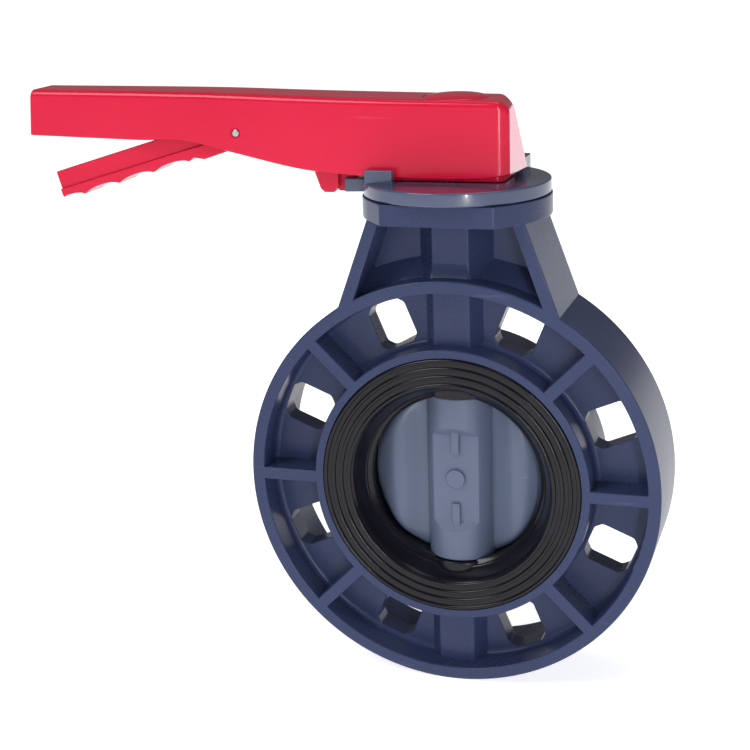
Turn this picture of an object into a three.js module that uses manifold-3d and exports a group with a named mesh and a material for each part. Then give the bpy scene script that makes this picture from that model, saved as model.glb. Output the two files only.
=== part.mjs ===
// Lever-operated wafer butterfly valve, DN 100, in moulded plastic.
// Millimetres, +Z up. The origin is the centre of the bore, on the valve's mid plane.
// The pipe runs along Y, the stem stands along Z, and the lever points to -X with the disc closed.
import * as THREE from 'three';
import { mergeVertices } from 'three/addons/utils/BufferGeometryUtils.js';
import Module from 'manifold-3d';

const wasm = await Module();
wasm.setup();

// ---- driving dimensions ------------------------------------------------------------------
const GAP = 0.3;                  // clearance between two pieces that touch on the real valve
const HALF_LENGTH = 28;           // half the face-to-face length
const RIM_R = 114.5;              // outside of the body ring
const RIM_WALL = 7.05;
const HUB_R = 77.1;               // outside of the inner ring that holds the liner
const BORE_R = 72.5;              // inside of the inner ring
const WEB_FRONT = -9.5;           // the web between the two rings
const WEB_REAR = 4;
const RIB_WIDTH = 6.8;
const SLOT_COUNT = 8;
const SLOT = { radius: 92.2, halfLong: 12.8, halfWide: 11, corner: 3.6 };

const FLANGE = { low: 145.8, top: 157.1, radius: 50.6, halfDepth: 43.6, halfFlat: 30.1 };
const COLUMN = { flatX: 9.84, flatY: 17.6, sideX: 20.3, sideY: 3 };
const STRUT_SLOPE = 0.369;        // sideways run of the outer strut face for each mm down
const BAND = { inner: 110, ledge: 114.6, outer: 122.4, halfDepth: 12, neckWeb: 3 };

const STEM_R = 9.5;
const STEM_BORE_R = 12.5;
const BUSH_R = STEM_BORE_R - GAP;
const STEM_HOLE_R = STEM_R + GAP;
const STEM_LOW = -96;
const STEM_TOP = 193;
const SQUARE_HALF = 6.7;          // square of the stem, in the disc and in the lever

const LINER_R = BORE_R - GAP;
const LINER_FACE = HALF_LENGTH + 0.6;
const SEAT_R = 50;
const LIP_Y = -14;                // the narrowest part of the throat, at front and rear
const PAD_Z = 47.3;               // flat pads of the liner around the stem
const PAD_R = 19.2;

const DISC_R = SEAT_R - 0.4;
const DISC_HUB_R = 18.6;
const DISC_FLAT_Y = 13.5;         // sunk flat on the disc's hub
const DISC_FLAT_Z = 25;

const PLATE = { low: FLANGE.top + GAP, top: 164.7, radius: 50 };
const SECTOR = { radius: 60.6, floor: 55.6, step: 15, count: 7, halfNotch: 4.6, lead: 9.6 };
const STOP_SHUT = [-43.8, -28.6, -25, -20];   // low and high x, then low and high y
const STOP_OPEN = [19.2, 30.4, 28, 44];
const STOP_TOP = 171.6;
const SCREW_PCR = 25;             // pitch circle radius of the plate screws

const HUB_HALF = 18.5;            // half the lever's width at the stem
const TIP_HALF = 13.75;           // half its width at the free end
const LEVER_TIP = -244.6;
const LEVER_WALL = 3;
const CAP_R = 17.5;
const PIVOT = { x: -118.5, z: 189.1, r: 2 };
const TRIGGER_HALF = 9.2;         // half the width of the trigger's bar and tooth
const GRIP_HALF = 11;             // half the width of its finger grip
const TRIGGER_SLOPE = 0.2955;     // rise of the trigger's bar for each mm towards the pivot

const FINE = 72;
const MEDIUM = 48;
const SMALL = 24;

// ---- finishes ----------------------------------------------------------------------------
function finish(color, roughness, metalness) {
  return new THREE.MeshStandardMaterial({ color, roughness, metalness });
}

const finishes = {
  body: finish(0x464c68, 0.42, 0),
  plate: finish(0x57637a, 0.28, 0),
  disc: finish(0x75809a, 0.4, 0),
  rubber: finish(0x24222a, 0.5, 0),
  red: finish(0xe2233f, 0.24, 0),
  bushing: finish(0xd8d6cc, 0.5, 0),
  steel: finish(0xb9bcc0, 0.3, 1),
};

// ---- shapes ------------------------------------------------------------------------------
function solidFrom(geometry) {
  geometry.deleteAttribute('normal');
  geometry.deleteAttribute('uv');
  const merged = mergeVertices(geometry, 1e-4);
  const vertProperties = new Float32Array(merged.attributes.position.array);
  const triVerts = new Uint32Array(merged.index.array);
  let solid = new wasm.Manifold(new wasm.Mesh({ numProp: 3, vertProperties, triVerts }));
  if (solid.volume() < 0) {
    for (let i = 0; i < triVerts.length; i += 3) {
      [triVerts[i], triVerts[i + 1]] = [triVerts[i + 1], triVerts[i]];
    }
    solid = new wasm.Manifold(new wasm.Mesh({ numProp: 3, vertProperties, triVerts }));
  }
  return solid;
}

// A closed outline pushed along Z, Y or X. Along Y it holds (x, z), along X it holds (y, z).
function prism(outline, low, high, axis = 'z') {
  const shape = new THREE.Shape(outline.map(([a, b]) => new THREE.Vector2(a, b)));
  const geometry = new THREE.ExtrudeGeometry(shape, { depth: high - low, bevelEnabled: false });
  if (axis === 'z') geometry.translate(0, 0, low);
  if (axis === 'y') geometry.rotateX(Math.PI / 2).translate(0, high, 0);
  if (axis === 'x') geometry.rotateX(Math.PI / 2).rotateZ(Math.PI / 2).translate(low, 0, 0);
  return solidFrom(geometry);
}

// A closed (radius, height) profile turned round Z or Y.
function turned(profile, axis = 'z', segments = MEDIUM) {
  const points = [...profile, profile[0]].map(([r, h]) => new THREE.Vector2(r, h));
  const geometry = new THREE.LatheGeometry(points, segments);
  if (axis === 'z') geometry.rotateX(Math.PI / 2);
  return solidFrom(geometry);
}

function rod(radius, low, high, axis = 'z', segments = SMALL) {
  const geometry = new THREE.CylinderGeometry(radius, radius, high - low, segments);
  geometry.translate(0, (high + low) / 2, 0);
  if (axis === 'z') geometry.rotateX(Math.PI / 2);
  return solidFrom(geometry);
}

function tube(outer, inner, low, high, axis = 'z', segments = SMALL) {
  return rod(outer, low, high, axis, segments)
    .subtract(rod(inner, low - 1, high + 1, axis, segments));
}

function block(x0, x1, y0, y1, z0, z1) {
  return prism([[x0, y0], [x1, y0], [x1, y1], [x0, y1]], z0, z1);
}

function arc(cx, cy, radius, fromDeg, toDeg, steps) {
  return Array.from({ length: steps + 1 }, (_, i) => {
    const angle = THREE.MathUtils.degToRad(fromDeg + ((toDeg - fromDeg) * i) / steps);
    return [cx + radius * Math.cos(angle), cy + radius * Math.sin(angle)];
  });
}

function joined(...solids) {
  return solids.reduce((whole, solid) => whole.add(solid));
}

function mirroredX(outline) {
  return outline.map(([x, z]) => [-x, z]).reverse();
}

function named(name, solid, material) {
  const { vertProperties, triVerts, numProp } = solid.getMesh();
  if (numProp !== 3) throw new Error(`${name} carries more than positions`);
  const geometry = new THREE.BufferGeometry();
  geometry.setAttribute('position', new THREE.BufferAttribute(vertProperties, 3));
  geometry.setIndex(new THREE.BufferAttribute(triVerts, 1));
  geometry.computeVertexNormals();
  const mesh = new THREE.Mesh(geometry, material);
  mesh.name = name;
  return mesh;
}

// ---- body --------------------------------------------------------------------------------
function bodyRings() {
  const rimInner = RIM_R - RIM_WALL;
  return turned([
    [BORE_R, -HALF_LENGTH], [HUB_R, -HALF_LENGTH], [HUB_R, WEB_FRONT], [rimInner, WEB_FRONT],
    [rimInner, -HALF_LENGTH], [RIM_R, -HALF_LENGTH], [RIM_R, HALF_LENGTH],
    [rimInner, HALF_LENGTH], [rimInner, WEB_REAR], [HUB_R, WEB_REAR],
    [HUB_R, HALF_LENGTH], [BORE_R, HALF_LENGTH],
  ], 'y', FINE);
}

function boltSlots() {
  const { radius, halfLong: a, halfWide: b, corner: c } = SLOT;
  const outline = [
    [a, -b + c], [a, b - c], [a - c, b], [-a + c, b],
    [-a, b - c], [-a, -b + c], [-a + c, -b], [a - c, -b],
  ].map(([x, z]) => [radius + x, z]);
  const slot = prism(outline, WEB_FRONT - 1, WEB_REAR + 1, 'y');
  const step = 360 / SLOT_COUNT;
  const all = Array.from({ length: SLOT_COUNT }, (_, i) => slot.rotate([0, step * (i + 0.5), 0]));
  return joined(...all);
}

function plainRibs() {
  const half = RIB_WIDTH / 2;
  const rib = block(HUB_R - 2, RIM_R - 3, -HALF_LENGTH, HALF_LENGTH, -half, half);
  return joined(...[0, 45, 135, 180, 225, 315].map((angle) => rib.rotate([0, -angle, 0])));
}

function columnOutline(grow = 0) {
  const { flatX, flatY, sideX, sideY } = COLUMN;
  const [x, y, wideX, wideY] = [flatX + grow, flatY + grow, sideX + grow, sideY + grow];
  return [[x, -y], [wideX, -wideY], [wideX, wideY], [x, y],
    [-x, y], [-wideX, wideY], [-wideX, -wideY], [-x, -y]];
}

function strutX(z) {
  return 43.03 + STRUT_SLOPE * (144.4 - z);
}

function neck() {
  const low = 94;
  const high = FLANGE.low + 0.4;
  const strut = [[strutX(high), high], [35.4, high], [54.2, low], [strutX(low), low]];
  const span = [[-38, high], [38, high], [56, low], [-56, low]];
  const bandProfile = [
    [BAND.inner, -BAND.halfDepth], [BAND.ledge, -BAND.halfDepth], [BAND.outer, -BAND.neckWeb],
    [BAND.outer, BAND.neckWeb], [BAND.ledge, BAND.halfDepth], [BAND.inner, BAND.halfDepth],
  ];
  const band = turned(bandProfile, 'y', FINE)
    .intersect(prism(span, -HALF_LENGTH, HALF_LENGTH, 'y'));
  const pocket = rod(BAND.inner, -HALF_LENGTH - 1, HALF_LENGTH + 1, 'y', FINE);
  return joined(
    prism(strut, -HALF_LENGTH, HALF_LENGTH, 'y'),
    prism(mirroredX(strut), -HALF_LENGTH, HALF_LENGTH, 'y'),
    prism(span, -BAND.neckWeb, BAND.neckWeb, 'y'),
  ).subtract(pocket).add(band);
}

function flange() {
  const { low, top, radius, halfDepth, halfFlat } = FLANGE;
  const corner = Math.atan2(halfDepth, halfFlat);
  const reach = Math.acos(radius / Math.hypot(halfDepth, halfFlat));
  const turn = THREE.MathUtils.radToDeg(corner - reach);
  const outline = [
    [halfFlat, -halfDepth], ...arc(0, 0, radius, -turn, turn, 16), [halfFlat, halfDepth],
    [-halfFlat, halfDepth], ...arc(0, 0, radius, 180 - turn, 180 + turn, 16),
    [-halfFlat, -halfDepth],
  ];
  return prism(outline, low, top);
}

function valveBody() {
  const stemBore = rod(STEM_BORE_R, 60, 170, 'z', SMALL)
    .add(rod(STEM_BORE_R, -98, -60, 'z', SMALL))
    .add(rod(17.3, FLANGE.top - 3.9, 170, 'z', SMALL));
  const screwHole = rod(3.3, FLANGE.top - 10, FLANGE.top + 1, 'z', 12);
  const holes = [0, 90, 180, 270].map((angle) => screwHole
    .translate([SCREW_PCR, 0, 0]).rotate([0, 0, angle]));
  const bore = rod(BORE_R, -HALF_LENGTH - 1, HALF_LENGTH + 1, 'y', FINE);
  return joined(
    bodyRings().subtract(boltSlots()),
    plainRibs(),
    prism(columnOutline(), 70, FLANGE.low + 1),
    prism(columnOutline(1.6), 108, 114.4),
    prism(columnOutline(), -109, -70),
    neck(),
    flange(),
  ).subtract(bore).subtract(stemBore).subtract(joined(...holes));
}

// ---- seat and stem seals -----------------------------------------------------------------
// The throat follows the ball that the disc's rim sweeps, so the disc shuts against its lips.
function seatLiner() {
  const throat = [
    ...[-3.5, -9, LIP_Y].map((y) => [Math.sqrt(SEAT_R ** 2 - y ** 2), y]), [50.6, -18],
  ];
  const ring = turned([
    [LINER_R, -LINER_FACE], [57.5, -LINER_FACE], ...[...throat].reverse(),
    ...throat.map(([r, y]) => [r, -y]), [57.5, LINER_FACE], [LINER_R, LINER_FACE],
  ], 'y', FINE);
  const skin = rod(60, -LINER_FACE, LINER_FACE, 'y', FINE);
  const pads = rod(PAD_R, PAD_Z, 59).add(rod(PAD_R, -59, -PAD_Z));
  const hubRoom = rod(PAD_R, -PAD_Z, PAD_Z);
  return ring.add(pads.intersect(skin)).subtract(hubRoom).subtract(rod(STEM_HOLE_R, -80, 80));
}

function stemRetainer() {
  const low = FLANGE.top - 3.6;
  const grooveR = STEM_R - 1.6;
  const throat = block(-grooveR, grooveR, 0, 20, low - 1, low + 4);
  return rod(17, low, low + 3, 'z', SMALL)
    .subtract(rod(grooveR, low - 1, low + 4, 'z', SMALL)).subtract(throat);
}

// ---- stem and disc -----------------------------------------------------------------------
function squareSection(half, low, high) {
  return block(-half, half, -half, half, low, high);
}

function stem() {
  const groove = (low, high, radius) => tube(STEM_R + 2, radius, low, high);
  return joined(
    rod(STEM_R, STEM_LOW, -35), squareSection(SQUARE_HALF, -35.5, 35.5), rod(STEM_R, 35, 162),
    squareSection(SQUARE_HALF, 161, STEM_TOP),
  ).subtract(groove(126.7, 129.7, 8)).subtract(groove(132.7, 135.7, 8))
    .subtract(groove(FLANGE.top - 3.9, FLANGE.top - 0.3, STEM_R - 1.9))
    .subtract(rod(4.2, STEM_TOP - 22, STEM_TOP + 1, 'z', 16));
}

function discRecess() {
  const depth = DISC_HUB_R + 2 - DISC_FLAT_Y;
  return prism([
    [-DISC_FLAT_Y, DISC_FLAT_Z], [-DISC_FLAT_Y - depth, DISC_FLAT_Z + depth],
    [-DISC_FLAT_Y - depth, -DISC_FLAT_Z - depth], [-DISC_FLAT_Y, -DISC_FLAT_Z],
  ], -DISC_HUB_R, DISC_HUB_R, 'x');
}

function discMarks() {
  const face = -DISC_FLAT_Y;
  const rib = block(-2.25, 2.25, face - 2, face + 1, 14.3, DISC_FLAT_Z + 2.9);
  return joined(rod(5.3, face - 2, face + 1, 'y', SMALL), rib, rib.mirror([0, 0, 1]));
}

function disc() {
  const wings = turned([
    [0, -10.5], [38, -10.5], [47.4, -8], [DISC_R, -3.5],
    [DISC_R, 3.5], [47.4, 8], [38, 10.5], [0, 10.5],
  ], 'y', FINE);
  const top = PAD_Z - GAP;
  const kept = rod(DISC_R + 2, -top, top, 'z', MEDIUM);
  const bore = joined(
    squareSection(SQUARE_HALF + GAP, -35, 35), rod(STEM_HOLE_R, 34.6, top + 1),
    rod(STEM_HOLE_R, -top - 1, -34.6), tube(12, 4, 41, 44.2), tube(12, 4, -44.2, -41),
  );
  const recess = discRecess();
  const marks = discMarks();
  return wings.intersect(kept).add(rod(DISC_HUB_R, -top, top, 'z', MEDIUM))
    .subtract(recess).subtract(recess.mirror([0, 1, 0]))
    .add(marks).add(marks.mirror([0, 1, 0])).subtract(bore);
}

function discSeal(low) {
  return tube(11.7, STEM_HOLE_R, low + GAP, low + 2.9);
}

// ---- index plate -------------------------------------------------------------------------
function sector() {
  const first = 90 - SECTOR.lead;
  const last = 180 + SECTOR.lead;
  const blank = prism([
    ...arc(0, 0, SECTOR.radius, first, last, 30), ...arc(0, 0, 40, last, first, 12),
  ], PLATE.low, PLATE.top);
  const { floor, radius, halfNotch: half, step, count } = SECTOR;
  const notch = block(-radius - 2, -floor, -half, half, PLATE.low - 1, PLATE.top + 1);
  const all = Array.from({ length: count }, (_, i) => notch.rotate([0, 0, -step * i]));
  return blank.subtract(joined(...all));
}

function countersunk(radius, shank, low) {
  const top = PLATE.top;
  return turned([
    [0, low], [shank, low], [shank, top - 3.6], [radius, top - 0.4], [radius, top], [0, top],
  ], 'z', SMALL);
}

function stopBlocks() {
  const base = PLATE.top - 1;
  return block(...STOP_SHUT, base, STOP_TOP).add(block(...STOP_OPEN, base, STOP_TOP));
}

function atScrews(solid) {
  return [0, 90, 180, 270].map((angle) => solid
    .translate([SCREW_PCR, 0, 0]).rotate([0, 0, angle]));
}

function indexPlate() {
  const holes = atScrews(countersunk(6.6, 3.3, PLATE.low - 2)
    .add(rod(6.6, PLATE.top - 0.01, PLATE.top + 1)));
  return rod(PLATE.radius, PLATE.low, PLATE.top, 'z', FINE)
    .add(sector()).add(stopBlocks())
    .subtract(rod(STEM_HOLE_R, PLATE.low - 1, PLATE.top + 1)).subtract(joined(...holes));
}

function plateScrews() {
  const body = countersunk(6.2, 3, FLANGE.top - 9).subtract(rod(1.9, PLATE.top - 2.4, 170, 'z', 6));
  return atScrews(body.translate([0, 0, -0.1]));
}

// ---- lever -------------------------------------------------------------------------------
function leverSide(inset) {
  const drop = inset > 0 ? 12 : 0;
  const low = [
    [LEVER_TIP + inset, 186.1 - drop], [-170, 184.3 - drop], [-146, 185.1 - drop],
    [-122, 178.7 - drop], [-82, 170.4 - drop], [-29, 166.7 - drop],
    [14, 166.9 - drop], [34 - inset, 169.2 - drop],
  ];
  const top = [
    [28.6 - inset, 203.5 - inset], [25.5 - inset, 206.8 - inset], [-26, 207 - inset],
    [-81, 208.2 - inset], [-138, 210.3 - inset],
    [-239.8 + inset, 211.6 - inset], [-242.6 + inset, 208.8 - inset],
  ];
  return [...low, ...top];
}

function leverPlan(inset) {
  const [hub, tip] = [HUB_HALF - inset, TIP_HALF - inset];
  const corner = 6.5 - inset;
  const end = 34.6 - inset;
  return [
    [LEVER_TIP - 1 + inset, -tip], [-40, -hub],
    ...arc(end - corner, -hub + corner, corner, -90, 0, 4),
    ...arc(end - corner, hub - corner, corner, 0, 90, 4),
    [-40, hub], [LEVER_TIP - 1 + inset, tip],
  ];
}

function leverForm(inset) {
  return prism(leverSide(inset), -30, 30, 'y').intersect(prism(leverPlan(inset), 140, 230));
}

function atPivot(radius, half) {
  return rod(radius, -half, half, 'y', 16).translate([PIVOT.x, 0, PIVOT.z]);
}

function lever() {
  const boss = rod(15, 167.2, 204, 'z', MEDIUM);
  const drive = squareSection(SQUARE_HALF + GAP, 160, 195.5);
  const seat = rod(13, 194.8, 215).add(rod(CAP_R + GAP, 204.6, 215, 'z', MEDIUM));
  return leverForm(0).subtract(leverForm(LEVER_WALL)).add(boss)
    .subtract(drive).subtract(seat).subtract(atPivot(PIVOT.r + GAP, 30));
}

function leverCap() {
  return turned([
    [0, 204.9], [CAP_R, 204.9], [CAP_R, 206.9], [14, 208.3], [8, 209.2], [0, 209.5],
  ], 'z', MEDIUM);
}

function leverBolt() {
  return joined(rod(3.9, STEM_TOP - 20, 198), rod(7.6, 197.7, 203.5, 'z', 6));
}

// ---- trigger -----------------------------------------------------------------------------
function gripLine(x, depth = 0) {
  return [x, 155.4 + TRIGGER_SLOPE * (x + 229.7) - depth];
}

function triggerBar() {
  return prism([
    [-232.3, 165], [-229.5, 155.2], gripLine(-126.4, 0), [-113, 181.8], [-79, 174.5],
    [-77, 169], [-74.2, 156.8], [-63.6, 156.8], [-63.6, 181.5], [-68, 186],
    [-110, 196.6], [-126, 197.1], [-150, 189.6],
  ], -TRIGGER_HALF, TRIGGER_HALF, 'y');
}

function gripBand() {
  const pitch = 21.7;
  const firstCrest = -214.3;
  const outline = [gripLine(-229.7), gripLine(-227.7, 5.8), gripLine(-221.5, 4.9)];
  for (let k = 0; k < 4; k += 1) {
    const crest = firstCrest + pitch * k;
    outline.push(gripLine(crest, 7.3), gripLine(crest + pitch * 0.3, 4.9));
    outline.push(gripLine(crest + pitch * 0.62, 4.7));
  }
  return prism([...outline.slice(0, -2), gripLine(-126.4, 7.8), gripLine(-126.4)],
    -GRIP_HALF, GRIP_HALF, 'y');
}

function trigger() {
  const tongue = block(-64, -SECTOR.floor - 0.5, -4.2, 4.2, 156.8, PLATE.top + 1.4);
  return joined(triggerBar(), gripBand(), tongue).subtract(atPivot(PIVOT.r + GAP, 30));
}

// ---- assembly ----------------------------------------------------------------------------
const casing = new THREE.Group();
casing.add(
  named('valve_body', valveBody(), finishes.body),
  named('seat_liner', seatLiner(), finishes.rubber),
  named('lower_stem_bushing', tube(BUSH_R, STEM_HOLE_R, -94, -74), finishes.bushing),
  named('upper_stem_bushing', tube(BUSH_R, STEM_HOLE_R, 74, 98), finishes.bushing),
  named('neck_bushing', tube(BUSH_R, STEM_HOLE_R, 121, FLANGE.top - 4.2), finishes.bushing),
  named('stem_retainer', stemRetainer(), finishes.steel),
  named('index_plate', indexPlate(), finishes.plate),
);
plateScrews().forEach((screw, i) => {
  casing.add(named(`plate_screw_${i + 1}`, screw, finishes.steel));
});

const leverGroup = new THREE.Group();
leverGroup.add(
  named('stem', stem(), finishes.steel),
  named('disc', disc(), finishes.disc),
  named('disc_seal_upper', discSeal(41), finishes.rubber),
  named('disc_seal_lower', discSeal(-44.2), finishes.rubber),
  named('stem_oring_lower', tube(STEM_R, 8.3, 127, 129.4), finishes.rubber),
  named('stem_oring_upper', tube(STEM_R, 8.3, 133, 135.4), finishes.rubber),
  named('lever', lever(), finishes.red),
  named('lever_washer', tube(12, 4.3, 195.1, 197.3), finishes.steel),
  named('lever_bolt', leverBolt(), finishes.steel),
  named('lever_cap', leverCap(), finishes.red),
  named('trigger_pin', atPivot(PIVOT.r, 16.5), finishes.steel),
  named('trigger_spring', rod(3.4, 192.8, 206.9).translate([-146, 0, 0]), finishes.steel),
);

const triggerGroup = new THREE.Group();
triggerGroup.add(named('trigger', trigger(), finishes.red));

const valve = new THREE.Group();
valve.add(casing, leverGroup, triggerGroup);
export default valve;
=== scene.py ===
"""Builds the looks of a lever-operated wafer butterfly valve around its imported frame.

Shapes are made in millimetres and become metres when a piece is finished. The pipe runs along Y,
the stem stands along Z, and the lever points to -X with the disc closed.
"""
import logging
import math
from collections.abc import Callable, Iterable, Sequence
from dataclasses import dataclass, field
from enum import Enum

import bmesh
import bpy
from mathutils import Euler, Matrix, Vector


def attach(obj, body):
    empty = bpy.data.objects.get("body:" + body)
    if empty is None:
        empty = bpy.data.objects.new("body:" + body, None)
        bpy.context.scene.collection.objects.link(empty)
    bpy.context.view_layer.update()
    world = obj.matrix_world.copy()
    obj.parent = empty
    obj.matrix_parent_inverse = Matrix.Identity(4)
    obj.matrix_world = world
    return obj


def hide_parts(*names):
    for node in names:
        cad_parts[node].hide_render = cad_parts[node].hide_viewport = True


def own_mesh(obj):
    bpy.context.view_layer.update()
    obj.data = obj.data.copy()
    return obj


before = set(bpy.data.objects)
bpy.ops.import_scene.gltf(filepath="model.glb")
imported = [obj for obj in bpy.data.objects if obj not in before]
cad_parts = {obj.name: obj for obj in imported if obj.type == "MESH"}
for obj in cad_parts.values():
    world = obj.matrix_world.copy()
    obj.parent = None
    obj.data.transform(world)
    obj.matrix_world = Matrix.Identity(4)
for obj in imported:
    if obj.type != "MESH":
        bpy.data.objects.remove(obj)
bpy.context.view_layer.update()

LOG = logging.getLogger("valve")

MM = 0.001
FINE = 192
MEDIUM = 96
SMALL = 48
MARGIN = 3.0
SKIN = 0.04
THROUGH = 40.0
ABOVE = 215.0
SHARP_DEGREES = 32.0

Point = tuple[float, float]
Triple = tuple[float, float, float]

HINGE: Point = (-118.5, 189.1)


class Axis(Enum):
    """The direction that a prism or a turned shape follows."""

    X = "x"
    Y = "y"
    Z = "z"

    def place(self, a: float, b: float, along: float) -> Vector:
        """Puts a flat point (a, b) at a distance along this axis.

        Args:
            a: First flat coordinate.
            b: Second flat coordinate.
            along: Distance along the axis.

        Returns:
            The point in space.
        """
        if self is Axis.X:
            return Vector((along, a, b))
        if self is Axis.Y:
            return Vector((a, along, b))
        return Vector((a, b, along))


class Finish(Enum):
    """The finishes of the valve, by the record's slot names."""

    BODY = "body_plastic"
    PLATE = "plate_plastic"
    DISC = "disc_plastic"
    RED = "red_plastic"
    RUBBER = "rubber"
    STEEL = "steel"
    BUSHING = "bushing_plastic"


# ---- outlines ----------------------------------------------------------------------------


def arc(centre: Point, radius: float, start: float, end: float, steps: int) -> list[Point]:
    """The steps + 1 points of an arc between two angles in degrees."""
    turns = [math.radians(start + (end - start) * i / steps) for i in range(steps + 1)]
    return [(centre[0] + radius * math.cos(t), centre[1] + radius * math.sin(t)) for t in turns]


def rounded(outline: Sequence[Point], radius: float, steps: int = 4,
            least: float = 20.0) -> list[Point]:
    """Rounds the corners of a closed outline.

    Args:
        outline: The outline's points.
        radius: Corner radius, cut down where an edge is too short for it.
        steps: Straight steps in each corner.
        least: Corners that turn by fewer degrees stay as they are.

    Returns:
        The rounded outline.
    """
    made: list[Point] = []
    count = len(outline)
    for i, corner in enumerate(outline):
        p = Vector(corner)
        before, after = Vector(outline[i - 1]) - p, Vector(outline[(i + 1) % count]) - p
        u, v = before.normalized(), after.normalized()
        angle = u.angle(v)
        if math.pi - angle < math.radians(least):
            made.append(corner)
            continue
        reach = min(radius / math.tan(angle / 2), before.length * 0.45, after.length * 0.45)
        own = reach * math.tan(angle / 2)
        centre = p + (u + v).normalized() * (own / math.sin(angle / 2))
        first, last = p + u * reach - centre, p + v * reach - centre
        turn = first.angle_signed(last)
        for k in range(steps + 1):
            spoke = first.copy()
            spoke.rotate(Matrix.Rotation(-turn * k / steps, 2))
            made.append((centre.x + spoke.x, centre.y + spoke.y))
    return made


def signed_area(outline: Sequence[Point]) -> float:
    """The outline's area, positive where it runs anticlockwise."""
    pairs = zip(outline, [*outline[1:], outline[0]])
    return sum(a[0] * b[1] - b[0] * a[1] for a, b in pairs) / 2


def grown(outline: Sequence[Point], by: float) -> list[Point]:
    """Moves every side of a closed outline outwards.

    Args:
        outline: The outline's points, anticlockwise.
        by: Distance, negative to shrink.

    Returns:
        As many points, in the same order.
    """
    made = []
    count = len(outline)
    for i, corner in enumerate(outline):
        p = Vector(corner)
        u = (p - Vector(outline[i - 1])).normalized()
        v = (Vector(outline[(i + 1) % count]) - p).normalized()
        out_u, out_v = Vector((u.y, -u.x)), Vector((v.y, -v.x))
        middle = (out_u + out_v).normalized()
        moved = p + middle * (by / max(middle.dot(out_u), 0.35))
        made.append((moved.x, moved.y))
    return made


def smooth_value(points: Sequence[Point], x: float) -> float:
    """Height of a smooth curve through points in rising order of their first number.

    Args:
        points: The (x, height) points.
        x: Where to read the curve.

    Returns:
        The height at x, or the end height past either end.
    """
    if x <= points[0][0]:
        return points[0][1]
    if x >= points[-1][0]:
        return points[-1][1]
    k = max(i for i in range(len(points) - 1) if points[i][0] <= x)
    (x0, y0), (x1, y1) = points[k], points[k + 1]

    def slope(i: int) -> float:
        """Slope of the curve at one point."""
        low, high = points[max(i - 1, 0)], points[min(i + 1, len(points) - 1)]
        return (high[1] - low[1]) / (high[0] - low[0])

    span = x1 - x0
    t = (x - x0) / span
    rise = (2 * t**3 - 3 * t**2 + 1) * y0 + (3 * t**2 - 2 * t**3) * y1
    return rise + span * ((t**3 - 2 * t**2 + t) * slope(k) + (t**3 - t**2) * slope(k + 1))


def clamped(value: float) -> float:
    """The value, kept between 0 and 1."""
    return min(max(value, 0.0), 1.0)


def rounded_each(corners: Sequence[Triple]) -> list[Point]:
    """Rounds each corner of a closed outline by its own radius.

    Args:
        corners: (a, b, radius) triples.

    Returns:
        The rounded outline.
    """
    points = [(a, b) for a, b, _ in corners]
    made: list[Point] = []
    for i, (_, _, radius) in enumerate(corners):
        trio = [points[i - 1], points[i], points[(i + 1) % len(points)]]
        steps = 3 if radius < 2 else 6
        made += rounded(trio, radius, steps)[steps + 1:2 * steps + 2]
    return made


def end_rings(low: float, high: float, growth: float, steps: int = 3) -> list[Point]:
    """The rings of a stack whose two ends are rounded.

    Args:
        low: Where the stack starts.
        high: Where it ends.
        growth: Growth of the two end rings, negative for a bar and positive for a lip.
        steps: Straight steps in each rounding.

    Returns:
        (growth, height) pairs from low to high.
    """
    turns = [math.pi / 2 * i / steps for i in range(steps + 1)]
    foot = [(growth * (1 - math.sin(t)), low + abs(growth) * (1 - math.cos(t))) for t in turns]
    return foot + [(g, low + high - h) for g, h in reversed(foot)]


# ---- solids ------------------------------------------------------------------------------


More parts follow.
